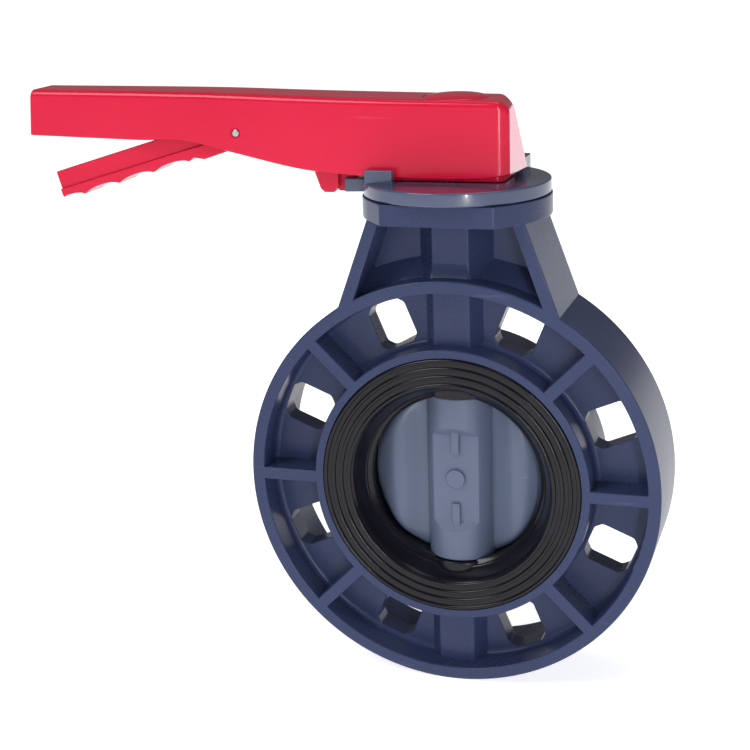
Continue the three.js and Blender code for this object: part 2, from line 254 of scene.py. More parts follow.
class Solid:
    """A closed mesh in millimetres, which others are joined to or cut from."""

    def __init__(self, mesh: bpy.types.Mesh) -> None:
        """Keeps a closed mesh whose faces point outwards."""
        self.mesh = mesh

    @classmethod
    def from_bmesh(cls, bm: bmesh.types.BMesh) -> "Solid":
        """Closes a bmesh into a solid and frees it.

        Args:
            bm: The bmesh. Its double points are merged and its faces turned outwards.

        Returns:
            The solid.
        """
        bmesh.ops.remove_doubles(bm, verts=bm.verts, dist=1e-5)
        bmesh.ops.recalc_face_normals(bm, faces=bm.faces)
        mesh = bpy.data.meshes.new("solid")
        bm.to_mesh(mesh)
        bm.free()
        return cls(mesh)

    @classmethod
    def from_mesh(cls, mesh: bpy.types.Mesh) -> "Solid":
        """Closes another mesh into a solid, as from_bmesh does.

        Args:
            mesh: The mesh, which stays as it is.

        Returns:
            The solid.
        """
        bm = bmesh.new()
        bm.from_mesh(mesh)
        return cls.from_bmesh(bm)

    @classmethod
    def lofted(cls, loops: Sequence[Sequence[Vector]]) -> "Solid":
        """Skins a row of closed loops that have equally many points, and caps both ends.

        Args:
            loops: The loops, in order.

        Returns:
            The solid.
        """
        bm = bmesh.new()
        rows = [[bm.verts.new(p) for p in loop] for loop in loops]
        for row, following in zip(rows, rows[1:]):
            for i, vert in enumerate(row):
                bm.faces.new((row[i - 1], vert, following[i], following[i - 1]))
        bm.faces.new(rows[0])
        bm.faces.new(rows[-1])
        return cls.from_bmesh(bm)

    @classmethod
    def stacked(cls, outline: Sequence[Point], rings: Sequence[Point], axis: Axis) -> "Solid":
        """Skins copies of an outline, each grown by a distance and set at a height.

        Args:
            outline: The outline to repeat.
            rings: (growth, height) pairs in order of height.
            axis: The direction of the heights.

        Returns:
            The solid.
        """
        outline = list(outline) if signed_area(outline) > 0 else list(reversed(outline))
        loops = [[axis.place(a, b, h) for a, b in grown(outline, g)] for g, h in rings]
        return cls.lofted(loops)

    @classmethod
    def prism(cls, outline: Sequence[Point], low: float, high: float, axis: Axis = Axis.Z,
              edge: float = 0.0) -> "Solid":
        """An outline pushed from low to high along an axis, its end edges rounded by edge."""
        rings = end_rings(low, high, -edge) if edge > 0 else [(0, low), (0, high)]
        return cls.stacked(outline, rings, axis)

    @classmethod
    def piercer(cls, outline: Sequence[Point], low: float, high: float, axis: Axis,
                lip: float) -> "Solid":
        """A tool that cuts a hole through two faces, at low and high, and rounds its lips."""
        rings = [(lip, low - MARGIN), *end_rings(low, high, lip), (lip, high + MARGIN)]
        return cls.stacked(outline, rings, axis)

    @classmethod
    def turned(cls, profile: Sequence[Point], axis: Axis = Axis.Z,
               segments: int = MEDIUM) -> "Solid":
        """A closed (radius, height) profile turned round an axis.

        Args:
            profile: The profile, closed on itself or along the axis.
            axis: The axis to turn round.
            segments: Number of steps round.

        Returns:
            The solid.
        """
        bm = bmesh.new()
        rows = []
        for i in range(segments):
            t = 2 * math.pi * i / segments
            spots = [axis.place(r * math.cos(t), r * math.sin(t), h) for r, h in profile]
            rows.append([bm.verts.new(p) for p in spots])
        count = len(profile)
        for row, following in zip(rows, [*rows[1:], rows[0]]):
            for k in range(count):
                nearby = (k + 1) % count
                if max(profile[k][0], profile[nearby][0]) >= 1e-6:
                    bm.faces.new((row[k], row[nearby], following[nearby], following[k]))
        return cls.from_bmesh(bm)

    @classmethod
    def rod(cls, radius: float, low: float, high: float, axis: Axis = Axis.Z,
            edge: float = 0.0, segments: int = MEDIUM) -> "Solid":
        """A round bar from low to high along an axis, its ends rounded by edge."""
        outline = arc((0, 0), radius, 0, 360 - 360 / segments, segments - 1)
        return cls.prism(outline, low, high, axis, edge)

    @classmethod
    def block(cls, low: Sequence[float], high: Sequence[float], edge: float = 0.0) -> "Solid":
        """A box whose edges are all rounded.

        Args:
            low: Its lowest corner.
            high: Its highest corner.
            edge: Radius of the rounded edges.

        Returns:
            The solid.
        """
        outline = [(low[0], low[1]), (high[0], low[1]), (high[0], high[1]), (low[0], high[1])]
        if edge > 0:
            outline = rounded(outline, edge * 1.01)
        return cls.prism(outline, low[2], high[2], Axis.Z, edge)

    def moved(self, shift: Sequence[float] = (0, 0, 0), turn: Sequence[float] = (0, 0, 0),
              flip: Sequence[float] = (1, 1, 1)) -> "Solid":
        """A mirrored, turned and shifted copy, in that order.

        Args:
            shift: Distance along X, Y and Z.
            turn: Degrees about X, Y and Z.
            flip: A factor of 1 or -1 for X, Y and Z.

        Returns:
            The copy.
        """
        copy = self.mesh.copy()
        angles = Euler([math.radians(t) for t in turn]).to_matrix().to_4x4()
        scale = Matrix.Diagonal((*flip, 1))
        copy.transform(Matrix.Translation(shift) @ angles @ scale)
        if flip[0] * flip[1] * flip[2] < 0:
            copy.flip_normals()
        return Solid(copy)

    def combined(self, others: Iterable["Solid"], operation: str) -> "Solid":
        """Joins, cuts or intersects this solid with others, one after another.

        Args:
            others: The other solids.
            operation: UNION, DIFFERENCE or INTERSECT.

        Returns:
            The result.
        """
        main = bpy.data.objects.new("work", self.mesh)
        bpy.context.collection.objects.link(main)
        tools = []
        for other in others:
            tool = bpy.data.objects.new("tool", other.mesh)
            bpy.context.collection.objects.link(tool)
            tools.append(tool)
            step = main.modifiers.new("step", "BOOLEAN")
            step.operation = operation
            step.solver = "MANIFOLD"
            step.object = tool
        graph = bpy.context.evaluated_depsgraph_get()
        mesh = bpy.data.meshes.new_from_object(main.evaluated_get(graph))
        for used in (main, *tools):
            bpy.data.objects.remove(used)
        return Solid(mesh)

    def joined(self, *others: "Solid") -> "Solid":
        """This solid with others joined to it."""
        return self.combined(others, "UNION")

    def cut(self, *others: "Solid") -> "Solid":
        """This solid with others cut out of it."""
        return self.combined(others, "DIFFERENCE")

    def common(self, *others: "Solid") -> "Solid":
        """What this solid shares with others."""
        return self.combined(others, "INTERSECT")


# ---- node trees --------------------------------------------------------------------------


class Maker:
    """Adds nodes to one tree, whether it shapes geometry or a material."""

    def __init__(self, tree: bpy.types.NodeTree) -> None:
        """Keeps the tree that it adds to."""
        self.tree = tree

    def node(self, kind: str, settings: dict | None = None,
             values: dict | None = None) -> bpy.types.Node:
        """Adds a node, sets it and then fills or links its inputs.

        Args:
            kind: The node's type name.
            settings: Its properties, set first.
            values: Numbers, vectors or sockets for its inputs, by name or place.

        Returns:
            The node.
        """
        made = self.tree.nodes.new(kind)
        for key, value in (settings or {}).items():
            setattr(made, key, value)
        for key, value in (values or {}).items():
            socket = made.inputs[key]
            source = value.socket if isinstance(value, Wire) else value
            if isinstance(source, bpy.types.NodeSocket):
                self.tree.links.new(source, socket)
            else:
                socket.default_value = source
        return made


class Wire:
    """A number in a node tree, on which Python's arithmetic adds Math nodes."""

    def __init__(self, maker: Maker, socket: bpy.types.NodeSocket) -> None:
        """Keeps the output that carries the number, and the maker of its tree."""
        self.maker = maker
        self.socket = socket

    def math(self, operation: str, *others: "Wire | float", first: float | None = None) -> "Wire":
        """One Math node on this number.

        Args:
            operation: The node's operation.
            others: The other numbers, in the node's order.
            first: A number to put before this one.

        Returns:
            The result.
        """
        numbers = ([first] if first is not None else []) + [self, *others]
        node = self.maker.node("ShaderNodeMath", {"operation": operation}, dict(enumerate(numbers)))
        return Wire(self.maker, node.outputs[0])

    def __add__(self, other: "Wire | float") -> "Wire":
        """The sum."""
        return self.math("ADD", other)

    __radd__ = __add__

    def __sub__(self, other: "Wire | float") -> "Wire":
        """This less the other."""
        return self.math("SUBTRACT", other)

    def __rsub__(self, other: float) -> "Wire":
        """The other less this."""
        return self.math("SUBTRACT", first=other)

    def __mul__(self, other: "Wire | float") -> "Wire":
        """The product."""
        return self.math("MULTIPLY", other)

    __rmul__ = __mul__

    def __truediv__(self, other: "Wire | float") -> "Wire":
        """This divided by the other."""
        return self.math("DIVIDE", other)

    def __pow__(self, other: "Wire | float") -> "Wire":
        """This raised to a power."""
        return self.math("POWER", other)

    def smooth(self, low: float, high: float) -> "Wire":
        """Rises softly from 0 at low to 1 at high.

        Args:
            low: Where the rise starts.
            high: Where it ends.

        Returns:
            The mask.
        """
        node = self.maker.node(
            "ShaderNodeMapRange", {"interpolation_type": "SMOOTHSTEP"},
            {"Value": self, "From Min": low, "From Max": high})
        return Wire(self.maker, node.outputs["Result"])


class Surface(Maker):
    """A material's tree, with the patterns that this valve's finishes are made of."""

    def __init__(self, name: str) -> None:
        """Makes an empty material.

        Args:
            name: The material's name.
        """
        self.material = bpy.data.materials.new(name)
        self.material.use_nodes = True
        super().__init__(self.material.node_tree)
        self.tree.nodes.clear()
        self.place = self.node("ShaderNodeTexCoord").outputs["Object"]

    def noise(self, scale: float, detail: float = 3.0,
              stretch: Sequence[float] = (1, 1, 1)) -> Wire:
        """Cloudy noise over the piece's own coordinates.

        Args:
            scale: Features for each metre.
            detail: Number of finer layers.
            stretch: Factor on the scale for each axis.

        Returns:
            A number between 0 and 1.
        """
        at = self.node("ShaderNodeMapping", None, {"Vector": self.place, "Scale": tuple(stretch)})
        node = self.node("ShaderNodeTexNoise", None, {
            "Vector": at.outputs[0], "Scale": scale, "Detail": detail})
        return Wire(self, node.outputs["Fac"])

    def mixed(self, mask: Wire, dark: Sequence[float] | bpy.types.NodeSocket,
              light: Sequence[float]) -> bpy.types.NodeSocket:
        """A colour between two others.

        Args:
            mask: 0 for the first colour, 1 for the second.
            dark: The first colour, or a colour socket.
            light: The second colour.

        Returns:
            The colour's socket.
        """
        first = dark if isinstance(dark, bpy.types.NodeSocket) else (*dark, 1.0)
        node = self.node("ShaderNodeMix", {"data_type": "RGBA"},
                         {0: mask, 6: first, 7: (*light, 1.0)})
        return node.outputs[2]

    def bumped(self, height: Wire, depth: float) -> bpy.types.NodeSocket:
        """A normal that follows a height.

        Args:
            height: The height, between 0 and 1.
            depth: Real depth of the relief in metres.

        Returns:
            The normal's socket.
        """
        node = self.node("ShaderNodeBump", None, {
            "Height": height, "Distance": depth, "Strength": 1.0})
        return node.outputs["Normal"]

    def finished(self, colour: bpy.types.NodeSocket, roughness: Wire,
                 normal: bpy.types.NodeSocket, constants: dict) -> bpy.types.Material:
        """Closes the tree with one shader.

        Args:
            colour: The base colour.
            roughness: The roughness.
            normal: The normal.
            constants: Numbers or colours for the shader's other inputs.

        Returns:
            The material.
        """
        shader = self.node("ShaderNodeBsdfPrincipled", None, {
            "Base Color": colour, "Roughness": roughness, "Normal": normal, **constants})
        self.node("ShaderNodeOutputMaterial", None, {"Surface": shader.outputs["BSDF"]})
        return self.material


@dataclass(frozen=True)
class MouldedPlastic:
    """Injection-moulded plastic: cloudy tone, flow streaks, fine grain and faint scuffs."""

    name: str
    tone: Triple
    shade: Triple
    scuff: Triple
    roughness: float
    shine: float
    grain_depth: float = 0.00001
    wave_depth: float = 0.00002
    coat: float = 0.0
    coat_roughness: float = 0.06

    def build(self) -> bpy.types.Material:
        """Builds the material.

        Returns:
            The material.
        """
        surface = Surface(self.name)
        clouds = surface.noise(9.0, 3.0)
        streaks = surface.noise(26.0, 4.0, (1.0, 1.0, 0.25))
        grain = surface.noise(1400.0, 2.0)
        waves = surface.noise(120.0, 2.0)
        scratches = surface.noise(300.0, 3.0, (0.06, 1.0, 1.3)).smooth(0.66, 0.74)
        patches = surface.noise(30.0, 2.0).smooth(0.5, 0.68)
        scuffs = scratches * patches
        tone = surface.mixed(clouds.smooth(0.3, 0.7) * 0.75 + streaks * 0.25, self.shade, self.tone)
        colour = surface.mixed(scuffs * 0.35, tone, self.scuff)
        rough = (streaks - 0.5) * 0.08 + scuffs * 0.12 + (grain - 0.5) * 0.04 + self.roughness
        relief = grain * self.grain_depth + waves * self.wave_depth
        relief = relief - scuffs * self.grain_depth * 0.5
        depth = self.grain_depth + self.wave_depth
        return surface.finished(colour, rough, surface.bumped(relief / depth, depth), {
            "Coat Weight": self.coat, "Coat Roughness": self.coat_roughness,
            "Specular IOR Level": self.shine})


@dataclass(frozen=True)
class MouldedRubber:
    """Black moulded rubber with a matt bloom and fine grain."""

    name: str
    tone: Triple
    bloom: Triple
    roughness: float
    shine: float
    grain_depth: float = 0.000008

    def build(self) -> bpy.types.Material:
        """Builds the material.

        Returns:
            The material.
        """
        surface = Surface(self.name)
        bloom = surface.noise(40.0, 4.0).smooth(0.45, 0.8)
        grain = surface.noise(1600.0, 2.0)
        colour = surface.mixed(bloom * 0.6, self.tone, self.bloom)
        rough = bloom * 0.10 + (grain - 0.5) * 0.06 + self.roughness
        return surface.finished(colour, rough, surface.bumped(grain, self.grain_depth),
                                {"Specular IOR Level": self.shine})


@dataclass(frozen=True)
class BrushedSteel:
    """Stainless steel with fine turned or drawn lines."""

    name: str
    tone: Triple
    stain: Triple
    roughness: float
    line_depth: float = 0.00001

    def build(self) -> bpy.types.Material:
        """Builds the material.

        Returns:
            The material.
        """
        surface = Surface(self.name)
        lines = surface.noise(900.0, 3.0, (1.0, 1.0, 0.03))
        stains = surface.noise(70.0, 3.0).smooth(0.5, 0.8)
        colour = surface.mixed(stains * 0.4, self.tone, self.stain)
        rough = (lines - 0.5) * 0.2 + stains * 0.1 + self.roughness
        return surface.finished(colour, rough, surface.bumped(lines, self.line_depth),
                                {"Metallic": 1.0})


FINISHES = {
    Finish.BODY: MouldedPlastic(
        "slate_body", tone=(0.035, 0.048, 0.114), shade=(0.027, 0.037, 0.092),
        scuff=(0.10, 0.11, 0.20), roughness=0.28, shine=0.24),
    Finish.PLATE: MouldedPlastic(
        "slate_plate", tone=(0.064, 0.080, 0.150), shade=(0.052, 0.067, 0.126),
        scuff=(0.16, 0.18, 0.26), roughness=0.18, shine=0.5, coat=0.3,
        grain_depth=0.000006, wave_depth=0.00001),
    Finish.DISC: MouldedPlastic(
        "slate_disc", tone=(0.106, 0.132, 0.204), shade=(0.088, 0.112, 0.176),
        scuff=(0.26, 0.29, 0.38), roughness=0.36, shine=0.35),
    Finish.RED: MouldedPlastic(
        "gloss_red", tone=(0.615, 0.010, 0.046), shade=(0.565, 0.007, 0.038),
        scuff=(0.72, 0.05, 0.09), roughness=0.17, shine=0.28,
        grain_depth=0.000003, wave_depth=0.00001),
    Finish.RUBBER: MouldedRubber(
        "seat_rubber", tone=(0.0050, 0.0048, 0.0080), bloom=(0.012, 0.011, 0.016),
        roughness=0.17, shine=0.30),
    Finish.STEEL: BrushedSteel(
        "stainless", tone=(0.60, 0.61, 0.62), stain=(0.42, 0.41, 0.40), roughness=0.26),
    Finish.BUSHING: MouldedPlastic(
        "natural_bushing", tone=(0.68, 0.66, 0.58), shade=(0.62, 0.60, 0.52),
        scuff=(0.5, 0.48, 0.42), roughness=0.45, shine=0.5),
}


class Repeater(Maker):
    """A geometry tree with named inputs, whose result becomes a plain mesh."""

    def __init__(self, name: str) -> None:
        """Makes an empty geometry tree.

        Args:
            name: The tree's name.
        """
        super().__init__(bpy.data.node_groups.new(name, "GeometryNodeTree"))
        self.tree.interface.new_socket(
            "Geometry", in_out="OUTPUT", socket_type="NodeSocketGeometry")
        self.inputs = self.node("NodeGroupInput")
        self.chosen: dict[str, object] = {}

    def size(self, name: str,
             value: float | bpy.types.Object | bpy.types.Material) -> bpy.types.NodeSocket:
        """Adds a named input and gives it a value.

        Args:
            name: The input's name.
            value: A number, an object or a material.

        Returns:
            The socket inside the tree.
        """
        kinds = {int: "NodeSocketInt", float: "NodeSocketFloat",
                 bpy.types.Object: "NodeSocketObject", bpy.types.Material: "NodeSocketMaterial"}
        kind = next(k for t, k in kinds.items() if isinstance(value, t))
        socket = self.tree.interface.new_socket(name, in_out="INPUT", socket_type=kind)
        self.chosen[socket.identifier] = value
        return self.inputs.outputs[name]

    def result(self, geometry: bpy.types.NodeSocket, material: bpy.types.Material) -> Solid:
        """Closes the tree and turns its result into a solid.

        Args:
            geometry: What the tree has made.
            material: The finish of the result.

        Returns:
            The result, with plain faces.
        """
        real = self.node("GeometryNodeRealizeInstances", None, {0: geometry})
        dressed = self.node("GeometryNodeSetMaterial", None, {
            "Geometry": real.outputs[0], "Material": self.size("Finish", material)})
        self.node("NodeGroupOutput", None, {0: dressed.outputs[0]})
        host = bpy.data.objects.new("host", bpy.data.meshes.new("host"))
        bpy.context.collection.objects.link(host)
        modifier = host.modifiers.new("repeat", "NODES")
        modifier.node_group = self.tree
        for identifier, value in self.chosen.items():
            modifier[identifier] = value
        graph = bpy.context.evaluated_depsgraph_get()
        mesh = bpy.data.meshes.new_from_object(host.evaluated_get(graph))
        bpy.data.objects.remove(host)
        return Solid(mesh)


def ring_of(solid: Solid, count: int, radius: float, axis: Axis, material: bpy.types.Material,
            first: float = 0.0, step: float | None = None) -> Solid:
    """Repeats a solid round an axis with a geometry tree.

    Args:
        solid: The piece, standing at the axis with its outward side along +X.
        count: Number of copies.
        radius: Distance from the axis.
        axis: Y or Z.
        material: The finish of the copies.
        first: Angle of the first copy in degrees.
        step: Degrees from one copy to the next, an even share of the turn if left out.

    Returns:
        All the copies as one solid.
    """
    maker = Repeater("ring_of_pieces")
    pattern = bpy.data.objects.new("pattern", solid.mesh)
    bpy.context.collection.objects.link(pattern)
    source = maker.node("GeometryNodeObjectInfo", None, {"Object": maker.size("Piece", pattern)})
    points = maker.node("GeometryNodePoints", None, {"Count": maker.size("Count", count)})
    place = maker.node("GeometryNodeInputIndex").outputs[0]
    turn = maker.node("ShaderNodeMath", {"operation": "MULTIPLY_ADD"}, {
        0: place, 1: maker.size("Step", math.radians(step if step else 360.0 / count)),
        2: maker.size("First", math.radians(first))})
    key = {Axis.Y: "Y", Axis.Z: "Z"}[axis]
    angles = maker.node("ShaderNodeCombineXYZ", None, {key: turn.outputs[0]})
    arm = maker.node("ShaderNodeCombineXYZ", None, {"X": maker.size("Radius", float(radius))})
    spot = maker.node("ShaderNodeVectorRotate", {"rotation_type": "EULER_XYZ"}, {
        "Vector": arm.outputs[0], "Rotation": angles.outputs[0]})
    placed = maker.node("GeometryNodeSetPosition", None, {
        "Geometry": points.outputs[0], "Position": spot.outputs[0]})
    copies = maker.node("GeometryNodeInstanceOnPoints", None, {
        "Points": placed.outputs[0], "Instance": source.outputs["Geometry"],
        "Rotation": angles.outputs[0]})
    made = maker.result(copies.outputs[0], material)
    bpy.data.objects.remove(pattern)
    return made


# ---- workshop ----------------------------------------------------------------------------


@dataclass
class Workshop:
    """Finishes pieces: scales them, shades them, dresses them and sets them on their bodies."""

    finishes: dict[Finish, bpy.types.Material]
    made: list[str] = field(default_factory=list)

    def material(self, finish: Finish) -> bpy.types.Material:
        """The material of a finish."""
        return self.finishes[finish]

    def piece(self, name: str, solid: Solid, body: str, finish: Finish,
              nodes: Sequence[str]) -> None:
        """Turns a solid into a finished piece.

        Args:
            name: The piece's name.
            solid: Its shape in millimetres.
            body: The body that it rides on.
            finish: Its finish.
            nodes: The frame's nodes that it stands for.
        """
        mesh = solid.mesh
        mesh.transform(Matrix.Scale(MM, 4))
        mesh.name = name
        mesh.materials.clear()
        mesh.materials.append(self.material(finish))
        mesh.polygons.foreach_set("material_index", [0] * len(mesh.polygons))
        mesh.shade_smooth()
        mesh.set_sharp_from_angle(angle=math.radians(SHARP_DEGREES))
        made = bpy.data.objects.new(name, mesh)
        bpy.context.collection.objects.link(made)
        even = made.modifiers.new("even", "WEIGHTED_NORMAL")
        even.keep_sharp = True
        graph = bpy.context.evaluated_depsgraph_get()
        mesh = bpy.data.meshes.new_from_object(made.evaluated_get(graph))
        made.modifiers.clear()
        made.data = mesh
        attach(made, body)
        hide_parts(*nodes)
        self.made.append(name)
        LOG.info("%s: %d faces, rides on %s", name, len(mesh.polygons), body)

    def dress(self, node: str, finish: Finish) -> None:
        """Gives a carried-over node its finish.

        Args:
            node: The node's name.
            finish: Its finish.
        """
        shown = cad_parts[node]
        shown.data.materials.clear()
        shown.data.materials.append(self.material(finish))
        LOG.info("%s: kept from the frame as %s", node, finish.value)


# ---- casing ------------------------------------------------------------------------------


@dataclass
class Casing:
    """The ring body with its neck and flange."""

    half: float = 28.0
    rim: float = 114.5
    rim_inner: float = 107.45
    hub: float = 77.1
    bore: float = 72.5
    web: tuple[float, float] = (-9.5, 4.0)
    rib_width: float = 6.8
    slots: int = 8
    slot_radius: float = 92.2
    slot_half: tuple[float, float] = (12.8, 11.0)
    slot_corner: float = 3.6
    column: tuple[Point, ...] = ((9.84, -17.6), (20.3, -3.0), (20.3, 3.0), (9.84, 17.6))
    column_low: float = 70.0
    column_foot: float = 109.0
    foot: tuple[Point, ...] = (
        (3.2, 106), (3.2, 113), (1.9, 115), (0.9, 117.2), (0.3, 119.4), (0.02, 121.5))
    strut_outer: float = 43.03
    strut_lean: float = 0.369
    strut_head: float = 144.4
    strut_inner: Point = (35.4, 54.2)
    neck_low: float = 94.0
    neck_web: Point = (38.0, 56.0)
    neck_web_half: float = 3.0
    pocket: float = 110.0
    ledge: tuple[Triple, ...] = (
        (108.5, -14, 0.1), (114.6, -14, 0.4), (124.2, -2.6, 1.6), (124.2, 2.6, 1.6),
        (114.6, 14, 0.4), (108.5, 14, 0.1))
    flange_low: float = 145.8
    flange_top: float = 157.1
    flange_radius: float = 50.6
    flange_half: float = 43.6
    flange_flat: float = 30.1
    stem_bore: float = 12.5
    stem_floor: float = 98.0
    retainer_room: Point = (17.3, 3.9)
    screw_circle: float = 25.0
    screw_hole: float = 3.3

    def rings(self) -> Solid:
        """The rim, the web and the inner ring.

        Returns:
            One turned solid.
        """
        front, rear = self.web
        sharp = 0.8
        soft = 3.0
        half = self.half
        corners = [
            (self.bore, -half, 0.1), (self.hub, -half, sharp), (self.hub, front, soft),
            (self.rim_inner, front, soft), (self.rim_inner, -half, sharp), (self.rim, -half, 1.0),
            (self.rim, half, 1.0), (self.rim_inner, half, sharp), (self.rim_inner, rear, soft),
            (self.hub, rear, soft), (self.hub, half, sharp), (self.bore, half, 0.1)]
        return Solid.turned(rounded_each(corners), Axis.Y, FINE)

    def slot_tools(self, material: bpy.types.Material) -> Solid:
        """The tools that cut the bolt slots.

        Args:
            material: The finish of the copies.

        Returns:
            All the tools as one solid.
        """
        a, b = self.slot_half
        c = self.slot_corner
        outline = rounded([(a, -b + c), (a, b - c), (a - c, b), (-a + c, b),
                           (-a, b - c), (-a, -b + c), (-a + c, -b), (a - c, -b)], 3.0)
        tool = Solid.piercer(outline, self.web[0], self.web[1], Axis.Y, 0.6)
        return ring_of(tool, self.slots, self.slot_radius, Axis.Y, material, 22.5)

    def ribs(self, material: bpy.types.Material) -> list[Solid]:
        """The plain ribs between the two rings, four aslant and two level.

        Args:
            material: The finish of the copies.

        Returns:
            The two sets of ribs.
        """
        wide = self.rib_width / 2
        deep = self.half - SKIN
        outline = rounded([(-deep, -wide), (deep, -wide), (deep, wide), (-deep, wide)], 0.6)
        rib = Solid.prism(outline, self.hub - 3, self.rim_inner + 4, Axis.X)
        return [ring_of(rib, 4, 0.0, Axis.Y, material, 45.0),
                ring_of(rib, 2, 0.0, Axis.Y, material)]

    def stem_column(self, rings: list[Point]) -> Solid:
        """An eight-sided column round the stem.

        Args:
            rings: Its (growth, height) pairs, from the bottom up.

        Returns:
            The column.
        """
        right = list(self.column)
        outline = rounded(right + [(-x, y) for x, y in reversed(right)], 1.2)
        return Solid.stacked(outline, rings, Axis.Z)

    def strut_edge(self, z: float) -> float:
        """Distance of the struts' outer faces from the stem at a height."""
        return self.strut_outer + self.strut_lean * (self.strut_head - z)

    def neck(self) -> list[Solid]:
        """The struts, the neck's web and the ledge on the ring.

        Returns:
            The four pieces.
        """
        low, high = self.neck_low, self.flange_low + 0.6
        near, far = self.strut_inner
        deep, thick = self.half - SKIN, self.neck_web_half
        outer = [(self.strut_edge(high), high), (near, high), (far, low),
                 (self.strut_edge(low), low)]
        strut = Solid.prism(rounded(outer, 0.8), -deep, deep, Axis.Y, 0.8)
        top, foot = self.neck_web
        span = [(-top, high), (top, high), (foot, low), (-foot, low)]
        web = Solid.prism(span, -thick, thick, Axis.Y)
        ledge = Solid.turned(rounded_each(self.ledge), Axis.Y, FINE)
        pocket = Solid.rod(self.pocket, -THROUGH, THROUGH, Axis.Y, segments=FINE)
        return [strut.cut(pocket), strut.moved(flip=(-1, 1, 1)).cut(pocket), web.cut(pocket),
                ledge.common(Solid.prism(span, -30, 30, Axis.Y))]

    def flange(self) -> Solid:
        """The top flange: round sides, flat front and rear, and four corners between them.

        Returns:
            The flange without its holes.
        """
        deep, flat = self.flange_half, self.flange_flat
        reach = math.acos(self.flange_radius / math.hypot(deep, flat))
        turn = math.degrees(math.atan2(deep, flat) - reach)
        outline = [(flat, -deep), *arc((0, 0), self.flange_radius, -turn, turn, 20), (flat, deep)]
        outline += [(-a, -b) for a, b in outline]
        return Solid.prism(rounded(outline, 3.0), self.flange_low, self.flange_top, Axis.Z, 0.6)

    def build(self, shop: Workshop) -> None:
        """Builds the body.

        Args:
            shop: Finishes the piece.
        """
        material = shop.material(Finish.BODY)
        columns = [self.stem_column([(0, self.column_low), (0, self.flange_low + 1)]),
                   self.stem_column([(0, -self.column_foot), (0, -self.column_low)]),
                   self.stem_column(list(self.foot))]
        whole = self.rings().cut(self.slot_tools(material))
        whole = whole.joined(*self.ribs(material), *columns, *self.neck(), self.flange())
        hole = Solid.rod(self.screw_hole, self.flange_top - 10, self.flange_top + 5, segments=SMALL)
        room, depth = self.retainer_room
        whole = whole.cut(
            Solid.rod(self.bore, -THROUGH, THROUGH, Axis.Y, segments=FINE),
            Solid.rod(self.stem_bore, 60, 170, segments=SMALL),
            Solid.rod(self.stem_bore, -self.stem_floor, -60, segments=SMALL),
            Solid.rod(room, self.flange_top - depth, 170, segments=SMALL),
            ring_of(hole, 4, self.screw_circle, Axis.Z, material))
        shop.piece("valve_body_shell", whole, "casing", Finish.BODY, ["valve_body"])


# ---- seat --------------------------------------------------------------------------------


